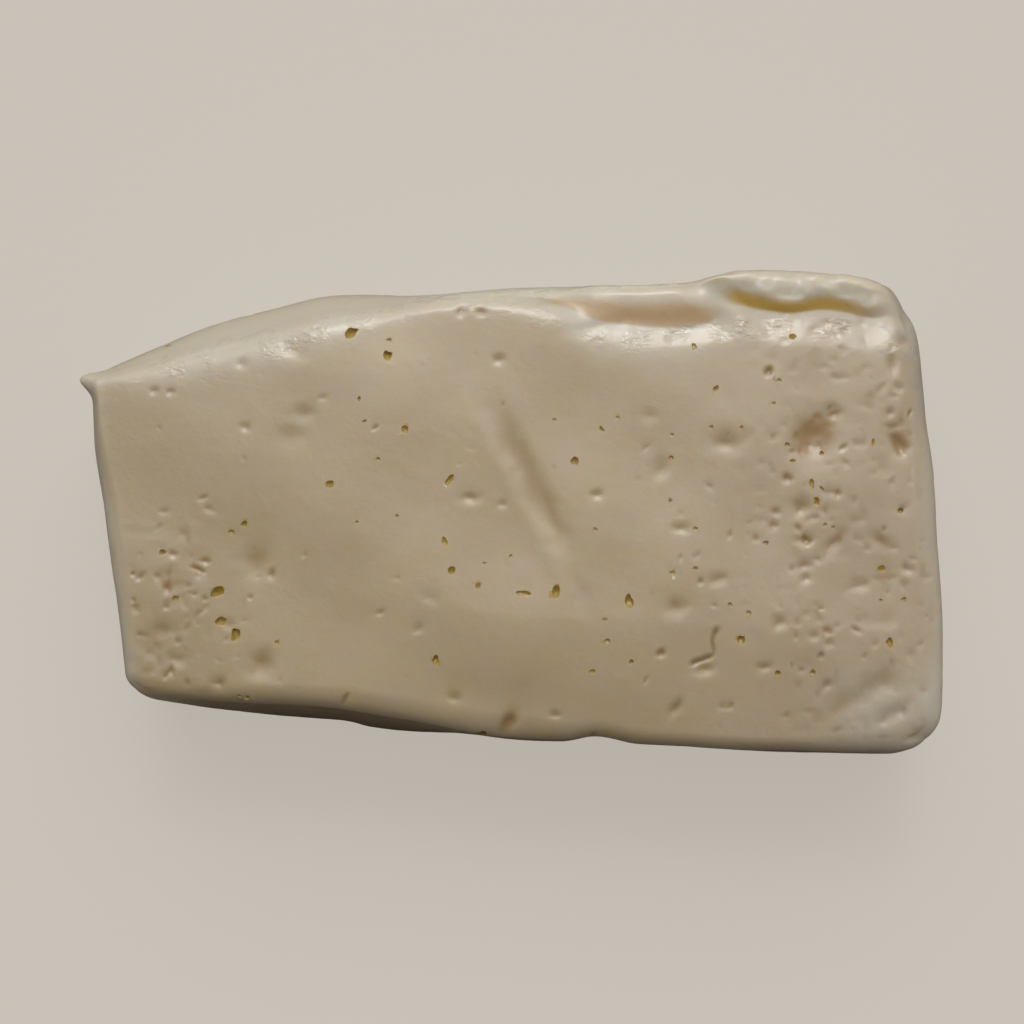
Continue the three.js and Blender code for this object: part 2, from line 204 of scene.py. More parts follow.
# [x, y, half length, half width, turn in degrees, depth]
DENT_STEEPNESS = 1.4
DENTS = [
    [54.2, 13, 4.4, 3.9, 60, 0.8], [38.5, 12.4, 3.2, 2.2, 0, 0.4], [51.5, 0.7, 2.2, 1.9, 30, 0.4],
    [52.2, -9.9, 1.8, 1.4, 0, 0.35], [52.6, -12.3, 1.1, 1, 0, 0.3], [65.6, -5.6, 2.6, 1.5, -30, 0.4],
    [68, 26.1, 2.2, 1.2, 90, 0.35], [69.3, 22.1, 1.1, 1, 0, 0.25], [69.2, 12, 3, 1.4, -50, 0.5],
    [70.2, 30.6, 1.8, 1.5, 0, 0.4], [58, 17.1, 1.6, 1.2, 0, 0.35], [26.5, 7.7, 2, 1.5, 70, 0.25],
    [24.5, 17.1, 1.7, 1.3, 0, 0.15], [52.6, -5, 1.5, 1.1, 0, 0.3], [57.4, -6.3, 2.6, 1.1, 50, 0.3],
    [29.9, -3.4, 1.5, 1.1, 0, 0.25], [70.6, -10.6, 1.3, 1, 0, 0.25], [61.9, -13, 2.2, 1.2, 20, 0.25],
    [36.5, -12.2, 1.7, 1.3, 0, 0.25], [29.3, -17.1, 2.4, 2, 0, 0.35], [47.7, -20, 1.5, 1.2, 60, 0.35],
    [34.4, -28, 2.3, 1.4, 15, 0.4], [53.9, -22.7, 0.9, 0.8, 0, 0.25], [56.4, -24, 1.1, 0.8, 30, 0.25],
    [44.8, -27.5, 1.6, 1.1, 0, 0.35], [56, -31, 1, 0.9, 0, 0.25], [29.3, -35.3, 2.1, 1, 60, 0.45],
    [37.6, -34.9, 0.9, 0.8, 0, 0.25], [49.1, -36.4, 1.1, 0.8, 0, 0.25], [72.9, -40.6, 2.2, 1.8, 40, 0.6],
    [-45.6, -9, 3.4, 2.8, 90, 0.35], [-44.8, -27.4, 2.8, 2.6, 0, 0.45], [-52.2, -30.6, 1.6, 1.4, 0, 0.35],
    [-59.4, -26.6, 2, 1.3, 10, 0.25], [-61.7, -21.2, 2.4, 1.7, 0, 0.25], [-58.5, -4, 0.9, 0.8, 0, 0.15],
    [-54.2, 0.2, 0.8, 0.7, 0, 0.15], [-62.1, -0.5, 0.8, 0.7, 0, 0.15], [-7.2, 2.2, 1.8, 1.2, 0, 0.3],
    [-1.6, 1.1, 1, 0.9, 0, 0.2], [14.8, 2.7, 1.3, 1.1, 0, 0.25], [-14.6, -15.8, 1.8, 1.4, 0, 0.15],
    [-16.7, -21.1, 1.4, 1, 40, 0.25], [-10.4, -33.3, 1.4, 1, 0, 0.25], [-1, -38.2, 3, 1.4, 65, 0.75],
    [7.6, -36.5, 1.2, 0.9, 0, 0.3], [-64.1, 21.6, 0.9, 0.8, 0, 0.2], [-61, 20.9, 0.9, 0.8, 0, 0.2],
    [-48.1, 26.5, 1.6, 1.3, 0, 0.2], [-39.2, 29.2, 3.4, 2.4, 0, 0.3], [-47.9, 14.8, 1.2, 0.8, 0, 0.2],
    [-37.4, 17.3, 2.2, 1.6, 0, 0.25], [-39.4, 13.3, 3, 2.4, 0, 0.2], [-2.7, 27.2, 1.2, 1, 0, 0.25],
    [-33.8, 20.4, 0.8, 0.6, 0, 0.15], [-9, 36, 1.1, 0.9, 0, 0.35], [-5.5, 35.8, 0.9, 0.8, 0, 0.35],
]

# Eyes, the openings of the cut curd, largest first: [x, y, half length, half width, turn, depth].
EYES = [
    [-28.8, 32, 1.35, 0.85, 25, 1.6], [-52.4, -14.4, 1.35, 0.85, 25, 2], [-51.8, -19.8, 1.05, 0.8, 10, 1.7],
    [-49.1, -22.3, 1.3, 0.85, 80, 1.8], [-22.3, 27.7, 0.95, 0.85, 90, 1.6], [7.7, -14.4, 1.2, 0.7, 80, 1.5],
    [20.9, -16.2, 1.2, 0.75, 95, 1.6], [2.2, -14.9, 1.3, 0.5, -5, 1], [-11.2, 5.6, 1.1, 0.5, 60, 1],
    [67.3, -23.6, 1, 0.6, 90, 1.2], [36.5, 21.8, 0.6, 0.42, 40, 0.8], [-13.7, -26.6, 0.85, 0.65, 90, 1.2],
    [-32.6, 4.9, 0.75, 0.65, 0, 1.2],
    [-10.8, -10.6, 0.8, 0.65, 30, 1.2], [40.9, -22.9, 0.75, 0.7, 0, 1.2], [11, 8.8, 0.7, 0.7, 0, 1.2],
    [53.6, 4.9, 0.85, 0.45, 90, 0.9], [54.5, 1.6, 0.75, 0.55, 90, 1], [-12.2, -5.6, 0.75, 0.4, -60, 0.9],
    [65.9, -10.6, 0.7, 0.6, 0, 0.9], [-59.8, -15.7, 0.65, 0.6, 0, 0.9], [-62.3, -7.4, 0.65, 0.6, 0, 1],
    [-47.7, -2.2, 0.6, 0.6, 0, 1], [69.5, 0, 0.65, 0.55, 0, 0.9], [-19.1, 14.4, 0.6, 0.6, 0, 0.9],
    [50.2, 31.3, 0.65, 0.6, 0, 0.8], [-6.1, -13.5, 0.6, 0.45, 90, 0.7], [16, 14.8, 0.6, 0.32, -50, 0.8],
    [32.8, 29.5, 0.6, 0.45, 90, 0.7], [14.4, -28.6, 0.6, 0.45, 20, 0.7], [47.5, -29.2, 0.55, 0.5, 0, 0.8],
    [53.6, -29, 0.5, 0.5, 0, 0.7], [-50, -4, 0.5, 0.5, 0, 0.6], [49.3, 11.7, 0.5, 0.45, 0, 0.9],
    [50.2, 9, 0.5, 0.32, 0, 0.7], [55.3, 10.4, 0.42, 0.4, 0, 0.7], [55.5, 4, 0.5, 0.28, -50, 0.8],
    [28.4, 9.4, 0.5, 0.42, 0, 0.8], [17.1, -23.4, 0.55, 0.42, 0, 0.7], [21.1, -27, 0.5, 0.45, 0, 0.7],
    [16.6, -19.6, 0.45, 0.35, 0, 0.6], [-41.8, -23.6, 0.5, 0.42, 0, 0.5], [-47.3, -33.3, 0.5, 0.45, 0, 0.6],
    [-48.7, -33.1, 0.4, 0.36, 0, 0.5], [42.1, -18.2, 0.5, 0.4, 0, 0.6], [38.9, -16.7, 0.45, 0.42, 0, 0.6],
    [45.4, -5.9, 0.48, 0.42, 0, 0.7], [32.9, -3.1, 0.4, 0.35, 0, 0.5], [28.3, 1.6, 0.4, 0.35, 0, 0.5],
    [32.8, -10.1, 0.5, 0.36, 0, 0.6], [28.6, -11.3, 0.5, 0.4, 0, 0.6], [35.5, 14.8, 0.42, 0.4, 0, 0.6],
    [41, 14.9, 0.4, 0.36, 0, 0.6], [28.6, 13.7, 0.36, 0.34, 0, 0.5], [47.7, 23.4, 0.45, 0.34, -30, 0.6],
    [46.8, 19.1, 0.35, 0.35, 0, 0.5], [7.6, 16.2, 0.4, 0.34, 0, 0.5], [19.1, 16.7, 0.38, 0.34, 0, 0.5],
    [-27.4, 20.2, 0.42, 0.32, 70, 0.7], [-26.5, 16, 0.42, 0.34, 30, 0.7], [-22.1, 30.8, 0.45, 0.34, 0, 0.6],
    [-23.8, 9.4, 0.42, 0.28, -20, 0.6], [-20.7, -1.1, 0.3, 0.28, 0, 0.5], [-27.7, -2.2, 0.34, 0.3, 0, 0.5],
    [-0.2, -8.1, 0.36, 0.3, 30, 0.5], [-5, -9.5, 0.3, 0.28, 0, 0.5], [14.8, -3.4, 0.4, 0.3, -30, 0.5],
    [55.8, -2.7, 0.36, 0.34, 0, 0.5], [57.4, -3.1, 0.36, 0.34, 0, 0.5], [65.7, -16, 0.34, 0.34, 0, 0.5],
    [69.7, -15.8, 0.45, 0.4, 0, 0.6], [64.6, 12.1, 0.8, 0.26, 80, 0.6],
]

# An eye's ball is this much of its depth high, and uneven by this share, in lumps of this size.
EYE_DEPTH = 0.6
EYE_UNEVEN = 0.3
EYE_LUMP = 0.75
EYE_BALL_STEPS = 3
# Each ball takes its lumps from another place, this far from the last.
EYE_APART = 7
# An eye of the top lies where the surface faces up by this much, one of a side where it faces up by less.
EYE_FACES_UP = 0.6
EYE_FACES_OUT = 0.3
# How much painted shade an eye's walls get, deep ochre, from the smallest to the largest, and the half
# lengths between which that changes.
EYE_SHADE_SHARES = (0.35, 1)
EYE_SHADE_SIZES = (0.35, 0.85)

# ---- What the photograph doesn't show: the sides and base get the same kinds of marks by a seeded draw ----

SEED = 23
SIDE_EYE_SIZES = (0.35, 1.3)
SIDE_EYE_WIDTHS = (0.5, 0.95)
SIDE_EYE_DEPTH = 1.4
LOWEST_SIDE_EYE = 3
TOP_PITS = 180
SIDE_PITS = 320
SIDE_EYES = 34
BASE_PITS = 60
# Patches of the top that are dense with small pits: (x, y, half length, half width, share of the pits).
PIT_PATCHES = [(54, -6, 17, 26, 0.5), (-57, -18, 10, 13, 0.22), (0, 0, 70, 33, 0.28)]

# ---- Small mathematics ----


def curve_through(pairs):
    """A smooth curve through [position, value] pairs, going straight on past both ends."""
    at, value = np.array(pairs, float).T
    slope = np.gradient(value, at)
    slope[1:-1] = (value[2:] - value[:-2]) / (at[2:] - at[:-2])

    def curve(position):
        inside = np.clip(position, at[0], at[-1])
        i = np.clip(np.searchsorted(at, inside, side="right") - 1, 0, len(at) - 2)
        span = at[i + 1] - at[i]
        t = (inside - at[i]) / span
        rise = 3 * t**2 - 2 * t**3
        bend = t * (1 - t) ** 2 * slope[i] + t**2 * (t - 1) * slope[i + 1]
        past = position - inside
        ends = np.where(past < 0, slope[0], slope[-1]) * past
        return value[i] + (value[i + 1] - value[i]) * rise + span * bend + ends

    return curve


def smoothstep(low, high, x):
    """0 below low, 1 above high, and a smooth rise between."""
    t = np.clip((x - low) / (high - low), 0, 1)
    return t * t * (3 - 2 * t)


def within(span, x):
    """0 outside a span, 1 inside it, with the soft start and end that the span gives."""
    (start_from, start_to), (end_from, end_to) = span
    return smoothstep(start_from, start_to, x) * (1 - smoothstep(end_from, end_to, x))


def blend(a, b, share):
    return a + (b - a) * share


def lattice_noise(points, size, seed):
    """Smooth random values from -1 to 1 that change over about the given size."""
    period = 64
    table = np.random.default_rng(seed).uniform(-1, 1, (period, period, period))
    place = points / size
    corner = np.floor(place).astype(int)
    t = place - corner
    t = t * t * (3 - 2 * t)
    total = np.zeros(len(points))
    for step in itertools.product((0, 1), repeat=3):
        weight = np.prod(np.where(step, t, 1 - t), axis=1)
        x, y, z = ((corner + step) % period).T
        total += weight * table[x, y, z]
    return total


# ---- The form on a grid ----

far_edge, near_edge = curve_through(FAR_EDGE), curve_through(NEAR_EDGE)
left_edge, right_edge = curve_through(LEFT_EDGE), curve_through(RIGHT_EDGE)
far_round, near_round = curve_through(FAR_ROUND), curve_through(NEAR_ROUND)
left_round, right_round = curve_through(LEFT_ROUND), curve_through(RIGHT_ROUND)
lip_front, foot_lean = curve_through(LIP_FRONT), curve_through(FOOT_LEAN)
wet_rim_width = curve_through(WET_RIM_WIDTH)


def section_of(rows):
    return [curve_through([[row[0], row[column]] for row in rows]) for column in (1, 2)]


def cube_surface(cells, rows):
    """Points of the -1..1 cube's surface on a grid, and its quads with their faces pointing out."""
    size = np.array(cells) + 1
    quads = []
    for axis in range(3):
        second, third = (axis + 1) % 3, (axis + 2) % 3
        j, k = (a.ravel() for a in np.indices((cells[second], cells[third])))
        for side in (0, cells[axis]):
            corners = []
            for dj, dk in ((0, 0), (1, 0), (1, 1), (0, 1)):
                index = np.empty((len(j), 3), int)
                index[:, axis], index[:, second], index[:, third] = side, j + dj, k + dk
                corners.append(np.ravel_multi_index(index.T, size))
            quad = np.stack(corners, axis=1)
            quads.append(quad if side else quad[:, ::-1])
    keys, quads = np.unique(np.concatenate(quads), return_inverse=True)
    lattice = np.stack(np.unravel_index(keys, size), axis=1) / np.array(cells) * 2 - 1
    points = np.stack([row(lattice[:, axis]) for axis, row in enumerate(rows)], axis=1)
    return points, quads.reshape(-1, 4)


def into_round(to_low, low_radius, to_high, high_radius):
    """How far points are into the roundings of two opposite sides, -1..1, and the radius there."""
    in_high, in_low = to_high < high_radius, to_low < low_radius
    into = np.where(in_high, 1 - to_high / high_radius, np.where(in_low, to_low / low_radius - 1, 0))
    return into, np.where(in_high, high_radius, np.where(in_low, low_radius, 1))


def waves(x, y, z):
    """Slow waves of the pressed curd, on every side of the block."""
    return (
        0.22 * np.sin(x / 15 + 0.6) * np.cos(y / 11 - 0.4 + z / 19)
        + 0.1 * np.sin((x + 1.7 * y) / 8 + z / 7)
        + 0.06 * np.sin((2 * x - y) / 7 + z / 5 + 2)
    )


def sink(x, y):
    """How far the top sinks towards its near and far edges."""
    near = np.clip(1 - (y - near_edge(x)) / NEAR_SINK_REACH, 0, 1)
    far = np.clip(1 - (far_edge(x) - y) / FAR_SINK_REACH, 0, 1)
    return NEAR_SINK * near**NEAR_SINK_BEND * within(NEAR_SINK_SPAN, x) + FAR_SINK * far**2


def crease_depth(crease, x, y):
    """Depth of a long crease with round walls and fading ends."""
    (x0, y0), (x1, y1), half_width, depth, fade = crease
    length = math.hypot(x1 - x0, y1 - y0)
    along = ((x - x0) * (x1 - x0) + (y - y0) * (y1 - y0)) / length
    across = ((x - x0) * (y1 - y0) - (y - y0) * (x1 - x0)) / length
    ends = smoothstep(-fade / 2, fade, along) * (1 - smoothstep(length - fade, length + fade / 2, along))
    return depth * ends * np.exp(-((across / half_width) ** 2))


def dent_depth(dent, x, y):
    """Depth of an oval dent with a soft rim."""
    centre_x, centre_y, half_length, half_width, turn, depth = dent
    cos, sin = math.cos(math.radians(turn)), math.sin(math.radians(turn))
    along = ((x - centre_x) * cos + (y - centre_y) * sin) / half_length
    across = ((y - centre_y) * cos - (x - centre_x) * sin) / half_width
    return depth * np.exp(-DENT_STEEPNESS * (along**2 + across**2))


class Block:
    """The block's surface points, in millimetres, with what the relief and the material need of each."""

    def __init__(self, cube):
        self.cube = cube
        x, y, to_sides = self.in_plan()
        z = blend(-BASE_CUT, THICKNESS, (cube[:, 2] + 1) / 2)
        top_round = blend(TOP_ROUND_NEAR, TOP_ROUND_FAR, smoothstep(*TOP_ROUND_CHANGE, cube[:, 1]))
        (into_x, radius_x), (into_y, radius_y) = to_sides
        eased = FAR_START * into_y + (1 - FAR_START) * (2 * into_y**2 - into_y**3)
        into_y = np.where(into_y > 0, eased, into_y)
        into_z, radius_z = into_round(z + BASE_CUT, BASE_ROUND, THICKNESS - z, top_round)
        self.into = np.stack([into_x, into_y, into_z], axis=1)
        self.out = self.into / np.linalg.norm(self.into, axis=1, keepdims=True)
        self.points = np.stack([x, y, z], axis=1)
        self.points += (self.out - self.into) * np.stack([radius_x, radius_y, radius_z], axis=1)
        self.pocket, self.valley, self.milky_and_highlight = np.zeros((3, len(cube)))
        self.fold()
        # The wet rim takes the lip's cream-white colour as a painted highlight.
        self.milky_and_highlight = np.maximum(self.milky_and_highlight, self.rim())
        self.top = np.clip(self.out[:, 2], 0, 1)

    def in_plan(self):
        """Places in the plan, and how far each is into the side roundings."""
        s, t = (self.cube[:, 0] + 1) / 2, (self.cube[:, 1] + 1) / 2
        left_y = blend(LEFT_EDGE[0][0], LEFT_EDGE[-1][0], t)
        right_y = blend(RIGHT_EDGE[0][0], RIGHT_EDGE[-1][0], t)
        left, right = left_edge(left_y), right_edge(right_y)
        x = blend(left, right, s)
        near, far = near_edge(x), far_edge(x)
        y = blend(near, far, t)
        ends = into_round(x - left, left_round(y), right - x, right_round(y))
        sides = into_round(y - near, near_round(x), far - y, far_round(x))
        return x, y, (ends, sides)

    def fold(self):
        """Lays the fold's sections over the rounded far edge: the rim, and on it the hollow and the lip."""
        on = (self.into[:, 1] > 0) & (self.into[:, 2] > 0)
        x, y, z = self.points[on].T
        way = 0.5 + (self.into[on, 1] - self.into[on, 2]) / 2
        lobed_from, lobed_to = LOBED_WAY
        lobe = np.sin(np.pi * np.clip((way - lobed_from) / (lobed_to - lobed_from), 0, 1)) ** 2
        shift = (LIP_FRONT_MEAN - lip_front(x)) * lobe
        reach = far_round(x) / FOLD_REACH
        from_middle = -section_of(LIP)[0](way) - BRIDGE_MIDDLE
        aslant = x - BRIDGE_SLANT * from_middle * (1 - smoothstep(*BRIDGE_END, x))
        forms = (
            (RIM, within(RIM_SPAN, x), 0),
            (HOLLOW, within(HOLLOW_SPAN, aslant), 0),
            (LIP, within(LIP_SPAN, aslant), shift),
        )
        for rows, share, offset in forms:
            across, up = section_of(rows)
            y = blend(y, far_edge(x) + across(way) * reach + offset, share)
            z = blend(z, THICKNESS + up(way), share)
        self.points[on] = np.stack([x, y, z], axis=1)
        # Painted shade in the recess under the lip, deep ochre.
        self.pocket[on] = within(POCKET_WAY, way) * within(POCKET_SPAN, aslant)
        # Painted shade in the hollow's low groove, tan.
        self.valley[on] = within(VALLEY_WAY, way) * within(VALLEY_SPAN, aslant)
        # The lip's cream-white colour: the cream film, made brighter as painted light where its front faces
        # away from the light.
        self.milky_and_highlight[on] = LIP_MILKY * within(MILKY_WAY, way) * within(LIP_SPAN, aslant)

    def inward(self):
        """How far in from the far edge each point is, as a share of the rounding there."""
        x, y, _ = self.points.T
        return (far_edge(x) - y) / far_round(x)

    def rim(self):
        """Share of the wet rim along the middle of the far edge, whose white is a painted highlight."""
        x, y, z = self.points.T
        across = (far_edge(x) - y) / wet_rim_width(x)
        share = (1 - smoothstep(*WET_RIM_FADE, across)) * within(WET_RIM_SPAN, x)
        return share * smoothstep(*FILM_HEIGHT, z)

    def film(self):
        """Shares of the wet film along the far edge, and of its crinkles."""
        x, _, z = self.points.T
        inward = self.inward()
        plain = FILM_PLAIN_SHARE * within(FILM_PLAIN, inward)
        band = blend(plain, within(FILM_FOOT, inward), within(RIM_SPAN, x)) + self.rim()
        patchy = smoothstep(*FILM_PATCHES, lattice_noise(self.points, FILM_PATCH_SIZE, SEED + 8))
        elsewhere = FILM_ELSEWHERE * within(FILM_ELSEWHERE_SPAN, x)
        elsewhere *= 1 - smoothstep(*FILM_ELSEWHERE_END, inward)
        wet = np.maximum(band * blend(FILM_BETWEEN, 1, patchy), elsewhere)
        high = smoothstep(*FILM_HEIGHT, z)
        return np.clip(wet, 0, 1) * high, np.clip(band, 0, 1) * patchy * high

    def pale_and_sheen(self):
        """Share of the paler colour: painted sheen on the roundings at the two ends, paler curd with painted
        sheen along the far edge and less on the lip, and the whiter near right corner.
        """
        x, y, z = self.points.T
        # Painted sheen on the roundings at both ends.
        left = ENDS_SHEEN * (1 - smoothstep(*LEFT_SHEEN_FADE, x - left_edge(y)))
        right = ENDS_SHEEN * (1 - smoothstep(*RIGHT_SHEEN_FADE, right_edge(y) - x))
        # Paler curd with painted sheen along the far edge, less on the lip, and none in the groove's painted
        # shade.
        far = (FAR_PALER_AND_SHEEN - PALE_LESS_ON_LIP * within(LIP_SPAN, x)) * (1 - self.valley)
        far *= 1 - smoothstep(*PALE_FAR_FADE, self.inward())
        share = np.clip(left + right + far + PALE_CORNER * self.corner(), 0, 1)
        return share * smoothstep(*PALE_HEIGHT, z)

    def corner(self):
        """Share of the whiter near right corner, where the creases get less painted shade and keep the curd's
        own colour.
        """
        x, y, _ = self.points.T
        return smoothstep(*CORNER_X, x) * (1 - smoothstep(*CORNER_Y, y))

    def press(self, depth):
        """Moves the surface in by a depth at each point."""
        self.points -= self.out * depth[:, None]

    def shape_sides(self):
        """The sunken edges, the swell at half height, the leaning foot, the fin and the flat base."""
        x, y, z = self.points.T
        height = np.clip(z / THICKNESS, 0, 1)
        z = z - sink(x, y) * height**3
        swell = 1 + SIDE_SWELL * np.sin(np.pi * height)
        x, y = x * swell, y * swell
        lean = foot_lean(x) * (1 - height) ** FOOT_LEAN_UP
        y = y - lean * np.maximum(-self.cube[:, 1], 0) ** FOOT_LEAN_IN
        self.points = np.stack([x, y, z], axis=1)
        share = np.exp(-((np.linalg.norm(self.points - FIN_AT, axis=1) / FIN_RADIUS) ** 2))
        self.points[:, :2] += np.array(FIN_PULL) * share[:, None]
        self.points[:, 2] = blend(self.points[:, 2], FIN_AT[2], FIN_SQUEEZE * share)
        self.points[:, 2] = np.maximum(self.points[:, 2], 0)


# ---- Relief ----

# Half lengths of the pits, and by that length their widths, depths and reach, with how steep their walls are.
PIT_SIZES = (0.3, 1.0)
PIT_WIDTHS = (0.45, 1)
PIT_DEPTHS = (0.14, 0.36)
PIT_REACH = 2.2
PIT_STEEPNESS = (2, 3.5)
# A place is on the top or the base where its direction out is this steep, on a side where it is less steep.
FACES_UP = 0.9
FACES_OUT = 0.5
# Crumbly patches: the right third of the top, its lower left, and parts of every side.
CRUMBLY_RIGHT = (30, 60)
CRUMBLY_LEFT = (-45, -60)
CRUMBLY_LEFT_Y = (5, -12)
CRUMBLY_SIDES = 0.6
CRUMBLY_SIDE_SIZE = 18
CRUMBLY_SIDE_PATCHES = (-0.1, 0.5)
# The crumbs in them: size, depth, and what is added to the seed. They start where the noise is this high.
CRUMBS = ((1.7, 0.25, 2), (3.9, 0.2, 3))
CRUMB_START = 0.3
# The depths between which a mark gets its painted shade, the warm tan of its recess. Creases and dents count
# for less, and so does the corner.
PIT_SHADE_DEPTHS = (0.02, 0.28)
BROAD_SHADE_SHARE = 0.5
CORNER_LESS_SHADE = 0.7
# A faint unevenness: size, height everywhere, and height added where the film crinkled.
GRAIN_FINE = (1.3, 0.02, 0.03)
GRAIN_SLOW = (5.2, 0.03, 0.04)
# The lip's lumps: size, height, and what is added to the seed.
LUMPS = ((3.0, 0.6, 7), (1.3, 0.24, 10))
# How outlines are made uneven: size and amount.
WARPS = ((2.1, 0.3), (6.5, 0.5))


def warped(points):
    """The same points, pushed about by noise, so that what is drawn by them has an uneven outline."""
    out = points.copy()
    for number, (size, amount) in enumerate(WARPS):
        for axis in range(3):
            out[:, axis] += amount * lattice_noise(points, size, SEED + 20 + 3 * number + axis)
    return out


def facing_frame(out, turn):
    """Three axes with the last along out, and the first turned round it from +X."""
    out = Vector(out).normalized()
    level = Vector((1, 0, 0)) if abs(out.x) < 0.9 else Vector((0, 1, 0))
    first = (level - out * level.dot(out)).normalized()
    second = out.cross(first)
    cos, sin = math.cos(math.radians(turn)), math.sin(math.radians(turn))
    return np.array([first * cos + second * sin, second * cos - first * sin, out])


def tree_of(points):
    tree = KDTree(len(points))
    for i, point in enumerate(points):
        tree.insert(point, i)
    tree.balance()
    return tree


def draw_places(weight, count, rng):
    """Indices of surface points, drawn at random with the given weights."""
    return rng.choice(len(weight), size=count, replace=False, p=weight / weight.sum())


def pit_depths(block, uneven, rng):
    """Depth of the small pits at each point, drawn over the top, the sides and the base."""
    x, y, _ = block.points.T
    on_top = np.zeros(len(x))
    for centre_x, centre_y, half_x, half_y, share in PIT_PATCHES:
        spread = np.exp(-(((x - centre_x) / half_x) ** 2) - ((y - centre_y) / half_y) ** 2)
        on_top += share * spread / (half_x * half_y)
    on_top *= block.out[:, 2] > FACES_UP
    on_side = (np.abs(block.out[:, 2]) < FACES_OUT) * 1.0
    on_base = (block.out[:, 2] < -FACES_UP) * 1.0
    tree = tree_of(block.points)
    depth = np.zeros(len(x))
    for count, weight in ((TOP_PITS, on_top), (SIDE_PITS, on_side), (BASE_PITS, on_base)):
        for index in draw_places(weight, count, rng):
            half = blend(*PIT_SIZES, rng.random() ** 3)
            sizes = (half, half * rng.uniform(*PIT_WIDTHS), 2 * half)
            near = [found[1] for found in tree.find_range(block.points[index], PIT_REACH * half)]
            axes = facing_frame(block.out[index], rng.uniform(0, 180))
            distance = np.linalg.norm((uneven[near] - uneven[index]) @ axes.T / sizes, axis=1)
            steep = rng.uniform(*PIT_STEEPNESS)
            depth[near] += half * rng.uniform(*PIT_DEPTHS) * np.exp(-(distance**steep))
    return depth


def crumb_depths(block, uneven):
    """Depth of the crumbs at each point of the crumbly patches."""
    x, y, _ = block.points.T
    left = smoothstep(*CRUMBLY_LEFT, x) * smoothstep(*CRUMBLY_LEFT_Y, y)
    on_top = smoothstep(*CRUMBLY_RIGHT, x) * block.top + left * block.top
    patchy = smoothstep(*CRUMBLY_SIDE_PATCHES, lattice_noise(block.points, CRUMBLY_SIDE_SIZE, SEED + 1))
    on_side = CRUMBLY_SIDES * (1 - np.abs(block.out[:, 2])) * patchy
    depth = sum(
        height * np.maximum(lattice_noise(uneven, size, SEED + number) - CRUMB_START, 0)
        for size, height, number in CRUMBS
    )
    return np.clip(on_top + on_side, 0, 1) * depth


def grain_heights(block, uneven):
    """Height of a faint unevenness everywhere, stronger where the film crinkled, and of the lip's lumps."""
    _, crinkled = block.film()
    height = 0
    for (size, everywhere, added), places, number in ((GRAIN_FINE, block.points, 4), (GRAIN_SLOW, uneven, 6)):
        height = height + (everywhere + added * crinkled) * lattice_noise(places, size, SEED + number)
    lumps = sum(high * lattice_noise(uneven, size, SEED + number) for size, high, number in LUMPS)
    return height + block.milky_and_highlight * within(LIP_SPAN, block.points[:, 0]) * lumps


def relief(block):
    """Depth of the block's unevenness and marks at each point, and how much painted shade the marks get."""
    rng = np.random.default_rng(SEED)
    uneven = warped(block.points)
    x, y, _ = uneven.T
    broad = np.zeros(len(x))
    for crease in CREASES:
        broad += block.top * crease_depth(crease, x, y)
    for dent in DENTS:
        broad += block.top * dent_depth(dent, x, y)
    sharp = pit_depths(block, uneven, rng) + crumb_depths(block, uneven)
    # Painted shade in the marks: a warm tan where they are deep enough, less at the near right corner.
    pit_shade = smoothstep(*PIT_SHADE_DEPTHS, sharp + BROAD_SHADE_SHARE * broad) * (1 - CORNER_LESS_SHADE * block.corner())
    slow = grain_heights(block, uneven) - waves(*block.points.T)
    return slow + (broad + sharp), pit_shade


# ---- Meshes ----


def new_piece(name, mesh):
    piece = bpy.data.objects.new(name, mesh)
    bpy.context.scene.collection.objects.link(piece)
    return piece


def mesh_from(name, points, faces):
    """A mesh of millimetre points, in metres."""
    mesh = bpy.data.meshes.new(name)
    mesh.from_pydata((points * MM).tolist(), [], faces.tolist())
    mesh.update()
    return mesh


def apply_modifiers(piece):
    """Replaces a piece's mesh by what its modifiers make of it."""
    graph = bpy.context.evaluated_depsgraph_get()
    mesh = bpy.data.meshes.new_from_object(piece.evaluated_get(graph))
    piece.modifiers.clear()
    piece.data = mesh


def icosphere(subdivisions):
    """Points and triangles of a ball of radius 1."""
    ball = bmesh.new()
    bmesh.ops.create_icosphere(ball, subdivisions=subdivisions, radius=1)
    points = np.array([v.co[:] for v in ball.verts])
    faces = np.array([[v.index for v in f.verts] for f in ball.faces])
    ball.free()
    return points, faces


